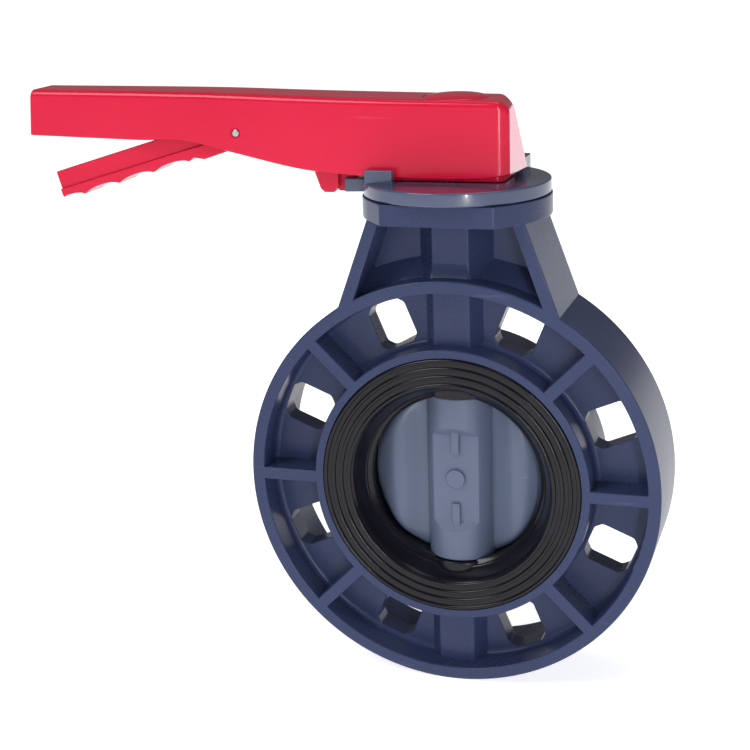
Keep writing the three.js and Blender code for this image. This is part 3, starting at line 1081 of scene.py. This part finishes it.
@dataclass
class Seat:
    """The rubber liner that the disc closes against."""

    outer: float = 72.2
    face: float = 28.6
    valley: float = 27.5
    ball: float = 49.7
    lip_y: float = 14.0
    pad_z: float = 47.3
    pad_radius: float = 19.2
    stem_hole: float = 9.8
    ridges: int = 4
    first_ridge: float = 57.5
    ridge_step: float = 4.5
    ridge_radius: float = 1.15
    funnel: tuple[Point, ...] = (
        (48.2, 15.0), (50.2, 16.4), (50.5, 17.6), (51.3, 18.2), (54.6, 25.6), (56.4, 27.5))

    def profile(self) -> list[Point]:
        """The liner's section: flat faces, a stepped funnel and a throat that follows the disc.

        Returns:
            The (radius, depth) points, from the front to the rear.
        """
        throat = [(math.sqrt(self.ball**2 - y**2), y) for y in (0, 3, 6, 9, 11.5, self.lip_y)]
        rim = [(self.outer - 0.5, self.valley), (self.outer, self.valley - 0.5)]
        half = throat + list(self.funnel) + rim
        return [(r, -y) for r, y in reversed(half[1:])] + half

    def ridge_rings(self, material: bpy.types.Material) -> Solid:
        """The ridges of the front face, made by a geometry tree.

        Args:
            material: Their finish.

        Returns:
            All the ridges as one solid.
        """
        maker = Repeater("seat_ridges")
        points = maker.node("GeometryNodePoints", None, {
            "Count": maker.size("Ridges", self.ridges)})
        place = maker.node("GeometryNodeInputIndex").outputs[0]
        radius = maker.node("ShaderNodeMath", {"operation": "MULTIPLY_ADD"}, {
            0: place, 1: maker.size("Ridge step", self.ridge_step),
            2: maker.size("First ridge", self.first_ridge)})
        size = maker.node("ShaderNodeCombineXYZ", None, dict.fromkeys("XYZ", radius.outputs[0]))
        hoop = maker.node("GeometryNodeCurvePrimitiveCircle", {"mode": "RADIUS"}, {
            "Resolution": maker.size("Steps round", FINE), "Radius": 1.0})
        copies = maker.node("GeometryNodeInstanceOnPoints", None, {
            "Points": points.outputs[0], "Instance": hoop.outputs[0], "Scale": size.outputs[0],
            "Rotation": (math.pi / 2, 0, 0)})
        hoops = maker.node("GeometryNodeRealizeInstances", None, {0: copies.outputs[0]})
        section = maker.node("GeometryNodeCurvePrimitiveCircle", {"mode": "RADIUS"}, {
            "Resolution": 20, "Radius": maker.size("Ridge radius", self.ridge_radius)})
        tube = maker.node("GeometryNodeCurveToMesh", None, {
            "Curve": hoops.outputs[0], "Profile Curve": section.outputs[0]})
        return maker.result(tube.outputs[0], material).moved((0, self.ridge_radius - self.face, 0))

    def build(self, shop: Workshop) -> None:
        """Builds the liner.

        Args:
            shop: Finishes the piece.
        """
        ring = Solid.turned(self.profile(), Axis.Y, FINE)
        skin = Solid.rod(60, -self.valley, self.valley, Axis.Y, segments=FINE)
        pad = Solid.rod(self.pad_radius + 1.2, self.pad_z, 59, Axis.Z, 0.8, MEDIUM).common(skin)
        room = Solid.rod(self.pad_radius, -self.pad_z, self.pad_z, segments=MEDIUM)
        hole = Solid.rod(self.stem_hole, -80, 80, segments=SMALL)
        front = self.ridge_rings(shop.material(Finish.RUBBER))
        whole = ring.cut(room).joined(pad, pad.moved(flip=(1, 1, -1)), front,
                                      front.moved(flip=(1, -1, 1)))
        shop.piece("seat_liner_rubber", whole.cut(hole), "casing", Finish.RUBBER, ["seat_liner"])


# ---- disc --------------------------------------------------------------------------------


@dataclass
class Disc:
    """The closing disc with its stem hub."""

    radius: float = 49.62
    hub: float = 18.6
    top: float = 47.0
    flat_y: float = 13.5
    flat_z: float = 25.0
    rib_z: tuple[float, float] = (14.3, 27.9)
    square: float = 7.0
    stem_hole: float = 9.8
    ramp: float = 8.0
    boss_radius: float = 5.3
    mark_height: float = 2.0
    mark_half: float = 2.25
    valley_depth: float = 2.8
    swell: float = 7.2
    swell_x: float = 35.0
    swell_width: float = 10.0
    rim_power: float = 20.0

    def wings(self, material: bpy.types.Material) -> Solid:
        """The pillow-shaped plate, swelling on both sides of the hub, made by a geometry tree.

        Args:
            material: Its finish.

        Returns:
            The plate.
        """
        maker = Repeater("disc_wings")
        radius = maker.size("Disc radius", self.radius)
        ball = maker.node("GeometryNodeMeshUVSphere", None, {
            "Segments": maker.size("Segments", 160), "Rings": maker.size("Rings", 72),
            "Radius": radius})
        spot = maker.node("ShaderNodeSeparateXYZ", None, {
            0: maker.node("GeometryNodeInputPosition").outputs[0]})
        x, z, side = (Wire(maker, spot.outputs[k]) for k in (0, 1, 2))
        width = Wire(maker, maker.size("Swell width", self.swell_width))
        away = (x.math("ABSOLUTE") - Wire(maker, maker.size("Swell place", self.swell_x))) / width
        bell = (away * away * -1.0).math("EXPONENT") * Wire(maker, maker.size("Swell", self.swell))
        share = (x * x + z * z).math("SQRT") / Wire(maker, radius)
        fade = 1.0 - share.math("MINIMUM", 1.0) ** self.rim_power
        fade = fade.math("MAXIMUM", 0.0).math("SQRT")
        depth = (bell + Wire(maker, maker.size("Valley depth", self.valley_depth))) * fade
        place = maker.node("ShaderNodeCombineXYZ", None, {
            "X": x, "Y": depth * side.math("SIGN"), "Z": z})
        shaped = maker.node("GeometryNodeSetPosition", None, {
            "Geometry": ball.outputs[0], "Position": place.outputs[0]})
        return Solid.from_mesh(maker.result(shaped.outputs[0], material).mesh)

    def marks(self) -> list[Solid]:
        """The sunk flat's round boss and its two small ribs.

        Returns:
            The three marks of the front side.
        """
        face = -self.flat_y
        front, rear = face - self.mark_height, face + 1
        boss = Solid.rod(self.boss_radius, front, rear, Axis.Y, 0.5, SMALL)
        low, high = self.rib_z
        rib = Solid.block((-self.mark_half, front, low), (self.mark_half, rear, high), 0.5)
        return [boss, rib, rib.moved(flip=(1, 1, -1))]

    def build(self, shop: Workshop) -> None:
        """Builds the disc.

        Args:
            shop: Finishes the piece.
        """
        reach = self.ramp
        ramp = [(-self.flat_y, self.flat_z), (-self.flat_y - reach, self.flat_z + reach),
                (-self.flat_y - reach, -self.flat_z - reach), (-self.flat_y, -self.flat_z)]
        recess = Solid.prism(ramp, -20, 20, Axis.X)
        rear = recess.moved(flip=(1, -1, 1))
        hub = Solid.rod(self.hub, -self.top, self.top, Axis.Z, 1.0, MEDIUM)
        marks = self.marks()
        kept = Solid.rod(self.radius + 2, -self.top, self.top, segments=MEDIUM)
        socket = Solid.block((-self.square, -self.square, -35), (self.square, self.square, 35))
        whole = self.wings(shop.material(Finish.DISC)).common(kept).joined(hub).cut(recess, rear)
        whole = whole.joined(*marks, *[mark.moved(flip=(1, -1, 1)) for mark in marks])
        bores = [Solid.rod(self.stem_hole, low, low + 14, segments=SMALL) for low in (34.6, -48.6)]
        whole = whole.cut(socket, *bores)
        shop.piece("disc_plate", whole, "rotor", Finish.DISC, ["disc"])


# ---- index plate -------------------------------------------------------------------------


@dataclass
class IndexPlate:
    """The plate on the flange, with a notched quadrant, two stops and its screws."""

    low: float = 157.4
    top: float = 164.7
    radius: float = 50.0
    sector: float = 60.55
    floor: float = 55.6
    half_notch: float = 4.6
    notches: int = 7
    step: float = 15.0
    lead: float = 9.6
    quadrant_inner: float = 40.0
    stem_hole: float = 9.8
    screw_circle: float = 25.0
    screw_foot: float = 9.4
    shank: float = 3.0
    head: float = 6.2
    hexagon: float = 2.2
    shut: tuple[float, float, float, float] = (-43.8, -28.6, -25.0, -20.0)
    open: tuple[float, float, float, float] = (19.2, 30.4, 28.0, 44.0)
    stop_top: float = 171.6

    def quadrant(self, material: bpy.types.Material) -> Solid:
        """The notched quadrant, its notches cut by a ring of blocks.

        Args:
            material: The finish of the blocks.

        Returns:
            The quadrant.
        """
        start, end = 90 - self.lead, 180 + self.lead
        outline = arc((0, 0), self.quadrant_inner, end, start, 16)
        outline += arc((0, 0), self.sector, start, end, SMALL)
        notch = Solid.block((0, -self.half_notch, self.low - 2),
                            (10, self.half_notch, self.top + 2))
        plate = Solid.prism(rounded(outline, 0.7, 3, 40), self.low, self.top - 0.03, Axis.Z, 0.6)
        return plate.cut(ring_of(notch, self.notches, self.floor, Axis.Z, material, 90, self.step))

    def stops(self) -> list[Solid]:
        """The two stop blocks.

        Returns:
            The blocks, shut side first.
        """
        low, high = self.top - 2, self.stop_top
        return [Solid.block((x0, y0, low), (x1, y1, high), 0.7)
                for x0, x1, y0, y1 in (self.shut, self.open)]

    def screw(self) -> Solid:
        """One countersunk screw with a six-sided socket.

        Returns:
            The screw, standing on the axis.
        """
        foot, top = self.low - self.screw_foot, self.top - 0.1
        profile = rounded_each([
            (0, foot, 0.01), (self.shank, foot, 0.6), (self.shank, self.top - 3.7, 0.3),
            (self.head, self.top - 0.6, 0.2), (self.head, top, 0.2), (0, top, 0.01)])
        profile[0] = (0, profile[0][1])
        flat = [(max(r, 0.0), h) for r, h in profile]
        socket = Solid.rod(self.hexagon, self.top - 2.6, self.top + 2, segments=6)
        return Solid.turned(flat, Axis.Z, SMALL).cut(socket)

    def build(self, shop: Workshop) -> None:
        """Builds the plate and its screws.

        Args:
            shop: Finishes the pieces.
        """
        round_part = Solid.rod(self.radius, self.low, self.top, Axis.Z, 0.9, FINE)
        material = shop.material(Finish.PLATE)
        plate = round_part.joined(self.quadrant(material), *self.stops())
        below, above = self.low - 2, self.top + 2
        seat = Solid.turned([
            (0, below), (3.3, below), (3.3, self.top - 3.6), (6.6, self.top - 0.4),
            (6.9, self.top - 0.1), (7.2, self.top + 0.01), (7.2, above), (0, above)],
            Axis.Z, SMALL)
        plate = plate.cut(ring_of(seat, 4, self.screw_circle, Axis.Z, material),
                          Solid.rod(self.stem_hole, below, above, segments=SMALL))
        shop.piece("index_plate_top", plate, "casing", Finish.PLATE, ["index_plate"])
        screws = ring_of(self.screw(), 4, self.screw_circle, Axis.Z, material)
        shop.piece("plate_screws", screws, "casing", Finish.PLATE,
                   [f"plate_screw_{i}" for i in range(1, 5)])


# ---- lever -------------------------------------------------------------------------------


@dataclass
class Lever:
    """The hollow red lever with its cap and hinge pin."""

    hub_half: float = 18.5
    tip_half: float = 13.75
    wall: float = 3.0
    tip_x: float = -244.5
    hub_x: float = 32.0
    corner: float = 9.5
    corner_degrees: float = 55.0
    end_half: float = 14.4
    tip_corner: float = 1.8
    lean: float = 8.3
    lean_span: Point = (169.0, 38.0)
    far_reach: float = 2.75
    tip_from: float = 200.0
    tip_lean: float = 2.0
    tip_span: Point = (186.0, 25.0)
    top_corner: float = 3.6
    top_drop: float = 1.3
    foot: float = 0.9
    boss: Triple = (15.0, 167.2, 204.0)
    drive_half: float = 7.0
    drive_top: float = 195.5
    bolt_seat: Point = (13.0, 194.8)
    collar_x: float = -46.0
    collar_low: float = 165.1
    collar_inset: Point = (3.2, 5.4)
    cap: float = 17.5
    cap_low: float = 204.9
    cap_shoulder: float = 206.7
    cap_top: float = 209.5
    pin_radius: float = 2.0
    pin_half: float = 16.5
    pin_hole: Point = (2.3, 3.0)
    top_line: tuple[Point, ...] = (
        (-244, 211.5), (-138, 210.5), (-81, 208.9), (-30, 207.8), (35, 206.9))
    low_line: tuple[Point, ...] = (
        (-244, 186.1), (-176, 184.4), (-150, 184.5), (-122, 178.7), (-82, 170.4),
        (-52, 167.7), (-20, 166.6), (14, 166.9), (35, 169.2))

    def half_width(self, x: float) -> float:
        """Half the lever's width at a place along it."""
        return smooth_value([(self.tip_x, self.tip_half), (-140, 16.1), (-40, self.hub_half),
                             (self.hub_x, self.hub_half)], x)

    def drafted(self, x: float, y: float, z: float) -> float:
        """The place along the lever, moved for the slope of the two ends.

        Args:
            x: Place along the lever.
            y: Place across it.
            z: Height.

        Returns:
            The moved place along the lever.
        """
        (start, height), (tip_start, tip_height) = self.lean_span, self.tip_span
        hub_share = clamped(x / self.hub_x) * clamped(0.5 + y / (2 * self.end_half))
        tip_share = clamped((x + self.tip_from) / (self.tip_x + self.tip_from))
        at_hub = hub_share * (self.far_reach - self.lean * (z - start) / height)
        return x + at_hub + self.tip_lean * tip_share * (z - tip_start) / tip_height

    def section(self, x: float, inset: float, tuck: float, drop: float) -> list[Vector]:
        """The outside of the lever at one place.

        Args:
            x: Place along the lever.
            inset: Distance inside the outer skin.
            tuck: Extra distance off the sides, for the rounded ends.
            drop: Extra distance off the top, for the rounded ends.

        Returns:
            The loop of points, from the front foot over the top to the rear foot.
        """
        wide = self.half_width(x) - inset - tuck
        top = smooth_value(self.top_line, x) - inset - drop
        low = smooth_value(self.low_line, x)
        turn = max(self.top_corner - inset * 0.6, 0.6)
        foot, bevel = self.foot, self.foot * 0.3
        if inset > 0:
            path = [(wide + foot, low - 20), (wide + foot, low - 0.2), (wide + bevel, low + bevel)]
        else:
            path = [(wide - foot, low), (wide - bevel, low + bevel)]
        path += [(wide, low + foot), *arc((wide - turn, top - turn), turn, 0, 90, 6)]
        loop = [(-y, z) for y, z in path] + [(y, z) for y, z in reversed(path)]
        return [Vector((self.drafted(x, y, z), y, z)) for y, z in loop]

    def form(self, inset: float) -> Solid:
        """The lever's outer form, or the form of its hollow.

        Args:
            inset: Distance inside the outer skin.

        Returns:
            The solid.
        """
        radius = self.corner - inset
        tip_radius = max(self.tip_corner - inset, 0.5)
        start, end = self.tip_x + inset, self.hub_x - inset
        count, steps, drop = 60, 8, self.top_drop
        turns = [math.pi / 2 * i / steps for i in range(steps + 1)]
        bends = [math.radians(self.corner_degrees) * i / steps for i in range(steps + 1)]
        inner, outer = start + tip_radius, end - radius * math.sin(bends[-1])
        loops = [self.section(start + tip_radius * (1 - math.cos(t)), inset,
                              tip_radius * (1 - math.sin(t)),
                              tip_radius * drop * (1 - math.sin(t))) for t in turns]
        loops += [self.section(inner + (outer - inner) * i / count, inset, 0, 0)
                  for i in range(1, count)]
        loops += [self.section(outer + radius * math.sin(t), inset, radius * (1 - math.cos(t)),
                               radius * drop * (1 - math.cos(t))) for t in bends]
        return Solid.lofted(loops)

    def shell(self) -> Solid:
        """The hollow lever with its drive boss.

        Returns:
            The lever without its cap and pin.
        """
        boss = Solid.rod(*self.boss, Axis.Z, 0.8, MEDIUM)
        outside, inside = self.collar_inset
        hollow = self.collar(inside, 0.0)
        skirt = self.collar(outside, 0.4).cut(hollow.moved((0, 0, -1)), hollow)
        side = self.drive_half
        drive = Solid.block((-side, -side, 160), (side, side, self.drive_top))
        seat = Solid.rod(*self.bolt_seat, ABOVE, segments=MEDIUM)
        cap_room = Solid.rod(self.cap + 0.1, self.cap_low, ABOVE, segments=FINE)
        x, z = HINGE
        wide = self.half_width(x) - 0.6
        narrow, recess = self.pin_hole
        hole = Solid.rod(narrow, -30, 30, Axis.Y, segments=SMALL).joined(
            Solid.rod(recess, wide, 30, Axis.Y, segments=SMALL),
            Solid.rod(recess, -30, -wide, Axis.Y, segments=SMALL)).moved((x, 0, z))
        whole = self.form(0).cut(self.form(self.wall)).joined(boss, skirt)
        return whole.cut(drive, seat, cap_room, hole)

    def collar(self, inset: float, edge: float) -> Solid:
        """A block that follows the hub's plan, down to just above the index plate.

        Args:
            inset: Distance inside the lever's outer skin.
            edge: Radius of its edges.

        Returns:
            The block.
        """
        half, start, end = self.hub_half - inset, self.collar_x + inset, self.hub_x - inset
        outline = rounded([(start, -half), (end, -half), (end, half), (start, half)], 5.0)
        return Solid.prism(outline, self.collar_low, 172, Axis.Z, edge)

    def cap_solid(self) -> Solid:
        """The domed cap over the stem.

        Returns:
            The cap.
        """
        low, shoulder, steps = self.cap_low, self.cap_shoulder, 14
        profile = [(0, low), (self.cap - 0.3, low), (self.cap, low + 0.3), (self.cap, shoulder)]
        profile += [(self.cap * math.cos(t), shoulder + (self.cap_top - shoulder) * math.sin(t))
                    for t in [math.pi / 2 * i / steps for i in range(1, steps)]]
        profile.append((0, self.cap_top))
        return Solid.turned(profile, Axis.Z, FINE)

    def build(self, shop: Workshop) -> None:
        """Builds the lever, its cap and its pin.

        Args:
            shop: Finishes the pieces.
        """
        shop.piece("lever_shell", self.shell(), "rotor", Finish.RED, ["lever"])
        shop.piece("lever_dome_cap", self.cap_solid(), "rotor", Finish.RED, ["lever_cap"])
        x, z = HINGE
        pin = Solid.rod(self.pin_radius, -self.pin_half, self.pin_half, Axis.Y, 0.5, SMALL)
        pin = pin.moved((x, 0, z))
        shop.piece("hinge_pin", pin, "rotor", Finish.STEEL, ["trigger_pin"])


@dataclass
class Trigger:
    """The red squeeze bar with its finger grip and latch tooth."""

    half: float = 9.2
    grip_half: float = 11.0
    slope: float = 0.2955
    tip: Point = (-229.7, 155.4)
    grip_end: float = -126.4
    pitch: float = 21.7
    crest: float = -214.3
    scallop: float = 2.8
    tongue: tuple[Triple, Triple] = ((-65, -4.2, 156.9), (-56.1, 4.2, 166.1))
    pin_hole: float = 2.3

    def line(self, x: float, depth: float = 0.0) -> Point:
        """A point below the line where the grip starts."""
        return (x, self.tip[1] + self.slope * (x - self.tip[0]) - depth)

    def grip(self) -> list[Point]:
        """Outline of the finger grip, with a scallop for each finger.

        Returns:
            The outline, from the hinge to the tip and back.
        """
        outline = [self.line(self.grip_end), self.line(self.tip[0]), self.line(-228.0, 5.4)]
        x = -226.5
        while x < -146.0:
            share = ((x - self.crest) / self.pitch) % 1.0
            outline.append(self.line(x, 7.3 - self.scallop * math.sin(math.pi * share) ** 0.55))
            x += 1.1
        return outline + [self.line(-140, 8.2), self.line(self.grip_end, 7.8)]

    def build(self, shop: Workshop) -> None:
        """Builds the trigger.

        Args:
            shop: Finishes the piece.
        """
        bar = [(-232.3, 165), (-229.5, 155.2), self.line(self.grip_end), (-113, 181.8),
               (-79, 174.5), (-76.6, 167), (-73.6, 158.6), (-71.5, 156.8), (-66.0, 156.8),
               (-63.6, 160.2), (-63.6, 181.5), (-68, 186), (-110, 196.6), (-126, 197.1),
               (-150, 189.6)]
        wide = self.grip_half
        body = Solid.prism(rounded(bar, 0.8, 4, 8), -self.half, self.half, Axis.Y, 0.5)
        grip = Solid.prism(rounded(self.grip(), 0.8, 4, 40), -wide, wide, Axis.Y, 0.6)
        x, z = HINGE
        hole = Solid.rod(self.pin_hole, -30, 30, Axis.Y, segments=SMALL).moved((x, 0, z))
        whole = body.joined(grip, Solid.block(*self.tongue, 0.6)).cut(hole)
        shop.piece("trigger_bar", whole, "latch", Finish.RED, ["trigger"])


@dataclass
class Spring:
    """The coil spring that pushes the trigger back."""

    radius: float = 3.0
    wire: float = 0.45
    low: float = 193.3
    high: float = 206.5
    turns: float = 7.0
    x: float = -146.0

    def build(self, shop: Workshop) -> None:
        """Builds the spring with a geometry tree.

        Args:
            shop: Finishes the piece.
        """
        maker = Repeater("coil")
        radius = maker.size("Coil radius", self.radius)
        spiral = maker.node("GeometryNodeCurveSpiral", None, {
            "Resolution": 24, "Rotations": maker.size("Turns", self.turns), "Start Radius": radius,
            "End Radius": radius, "Height": maker.size("Height", self.high - self.low)})
        wire = maker.node("GeometryNodeCurvePrimitiveCircle", {"mode": "RADIUS"}, {
            "Resolution": 12, "Radius": maker.size("Wire radius", self.wire)})
        tube = maker.node("GeometryNodeCurveToMesh", None, {
            "Curve": spiral.outputs[0], "Profile Curve": wire.outputs[0], "Fill Caps": True})
        coil = maker.result(tube.outputs[0], shop.material(Finish.STEEL))
        coil = coil.moved((self.x, 0, self.low))
        shop.piece("return_spring", coil, "rotor", Finish.STEEL, ["trigger_spring"])
        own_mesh(bpy.data.objects["return_spring"])


# ---- stage -------------------------------------------------------------------------------


@dataclass(frozen=True)
class SoftLight:
    """A soft rectangular light; one that isn't mirrored leaves no reflection in gloss."""

    name: str
    place: Triple
    power: float
    size: Point
    mirrored: bool = True
    colour: Triple = (1.0, 1.0, 1.0)


LIGHTS = (
    SoftLight("key", (-0.9, -1.0, 1.5), 18.5, (0.9, 0.9)),
    SoftLight("strip", (0.75, -1.6, 0.3), 12.0, (0.10, 1.0)),
    SoftLight("right", (1.5, -0.5, 0.5), 1.6, (0.25, 0.9), mirrored=False),
    SoftLight("front", (0.2, -1.9, 0.25), 3.2, (1.3, 0.9), mirrored=False),
    SoftLight("end", (0.42, 1.4, 0.13), 0.62, (0.3, 0.35), colour=(1.0, 0.86, 0.98)),
    SoftLight("top", (0.2, 0.2, 1.7), 7.0, (1.4, 0.9)),
)


@dataclass
class Studio:
    """A pale floor that glows with painted light, soft lights and the camera."""

    eye: Triple = (0.2163, -0.8251, 0.3059)
    yaw: float = 17.845
    pitch: float = 16.288
    roll: float = -1.869
    lens: float = 77.59
    sensor: float = 36.0
    floor_z: float = -0.1147
    floor_half: float = 30.0
    aim: Triple = (0.0, 0.0, 0.05)
    sky: float = 0.16

    def camera(self) -> None:
        """Sets the camera."""
        data = bpy.data.cameras.new("camera")
        data.lens = self.lens
        data.sensor_width = self.sensor
        made = bpy.data.objects.new("camera", data)
        bpy.context.collection.objects.link(made)
        yaw, pitch = math.radians(self.yaw), math.radians(self.pitch)
        forward = Vector((-math.sin(yaw) * math.cos(pitch), math.cos(yaw) * math.cos(pitch),
                          -math.sin(pitch)))
        side = Vector((math.cos(yaw), math.sin(yaw), 0))
        up = side.cross(forward)
        roll = math.radians(self.roll)
        right = side * math.cos(roll) + up * math.sin(roll)
        upright = up * math.cos(roll) - side * math.sin(roll)
        turn = Matrix((right, upright, -forward)).transposed()
        made.matrix_world = Matrix.Translation(self.eye) @ turn.to_4x4()
        bpy.context.scene.camera = made

    def floor(self) -> None:
        """Lays the pale floor, which glows with painted light, dimmer at the front than at the
        back.
        """
        bm = bmesh.new()
        bmesh.ops.create_grid(bm, x_segments=2, y_segments=2, size=self.floor_half)
        mesh = bpy.data.meshes.new("floor")
        bm.to_mesh(mesh)
        bm.free()
        made = bpy.data.objects.new("floor", mesh)
        made.location.z = self.floor_z
        bpy.context.collection.objects.link(made)
        surface = Surface("pale_floor")
        tint = surface.mixed(surface.noise(3.0), (0.80, 0.80, 0.81), (0.84, 0.84, 0.85))
        # Painted light: the floor's emission is dimmer at the front and brighter towards the back.
        parts = surface.node("ShaderNodeSeparateXYZ", None, {0: surface.place})
        depth = Wire(surface, parts.outputs["Y"])
        painted_floor_glow = surface.mixed(depth.smooth(-0.5, 0.9), (0.68, 0.68, 0.69), (0.93, 0.93, 0.94))
        mesh.materials.append(surface.finished(
            tint, surface.noise(20.0) * 0.1 + 0.7, surface.bumped(surface.noise(200.0), 0.00005),
            {"Emission Color": painted_floor_glow, "Emission Strength": 1.0}))

    def light(self, chosen: SoftLight) -> None:
        """Hangs one soft light that faces the valve.

        Args:
            chosen: The light.
        """
        data = bpy.data.lights.new(chosen.name, "AREA")
        data.energy = chosen.power
        data.color = chosen.colour
        data.shape = "RECTANGLE"
        data.size, data.size_y = chosen.size
        made = bpy.data.objects.new(chosen.name, data)
        made.location = chosen.place
        made.rotation_mode = "QUATERNION"
        facing = Vector(self.aim) - Vector(chosen.place)
        made.rotation_quaternion = facing.to_track_quat("-Z", "Y")
        made.visible_camera = False
        made.visible_glossy = chosen.mirrored
        bpy.context.collection.objects.link(made)

    def reach(self, light: str, pieces: Sequence[str]) -> None:
        """Lets one light reach only some pieces.

        Args:
            light: The light's name.
            pieces: The names of the pieces that it lights.
        """
        group = bpy.data.collections.new(light + "_reach")
        for name in pieces:
            group.objects.link(bpy.data.objects[name])
        bpy.data.objects[light].light_linking.receiver_collection = group

    def build(self) -> None:
        """Sets the whole stage."""
        self.camera()
        self.floor()
        for chosen in LIGHTS:
            self.light(chosen)
        world = bpy.data.worlds.new("sky")
        bpy.context.scene.world = world
        world.use_nodes = True
        background = world.node_tree.nodes["Background"]
        background.inputs["Color"].default_value = (1, 1, 1, 1)
        background.inputs["Strength"].default_value = self.sky
        bpy.context.scene.view_settings.view_transform = "Standard"


KEPT = {
    Finish.BUSHING: ("lower_stem_bushing", "upper_stem_bushing", "neck_bushing"),
    Finish.STEEL: ("stem_retainer", "stem", "lever_washer", "lever_bolt"),
    Finish.RUBBER: ("disc_seal_upper", "disc_seal_lower", "stem_oring_lower",
                    "stem_oring_upper"),
}


def write_sizes() -> None:
    """Brings the view layer up to date."""
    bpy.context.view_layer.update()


def main() -> None:
    """Builds the valve and its stage."""
    logging.basicConfig(level=logging.INFO, format="%(name)s %(message)s")
    studio = Studio()
    studio.build()
    shop = Workshop({finish: maker.build() for finish, maker in FINISHES.items()})
    builders: list[Callable[[Workshop], None]] = [
        Casing().build, Seat().build, Disc().build, IndexPlate().build, Lever().build,
        Trigger().build, Spring().build]
    for build in builders:
        build(shop)
    studio.reach("end", ["lever_shell", "lever_dome_cap"])
    for finish, nodes in KEPT.items():
        for node in nodes:
            shop.dress(node, finish)
    LOG.info("%d pieces made, %d kept", len(shop.made), sum(map(len, KEPT.values())))
    write_sizes()


if __name__ == "__main__":
    main()
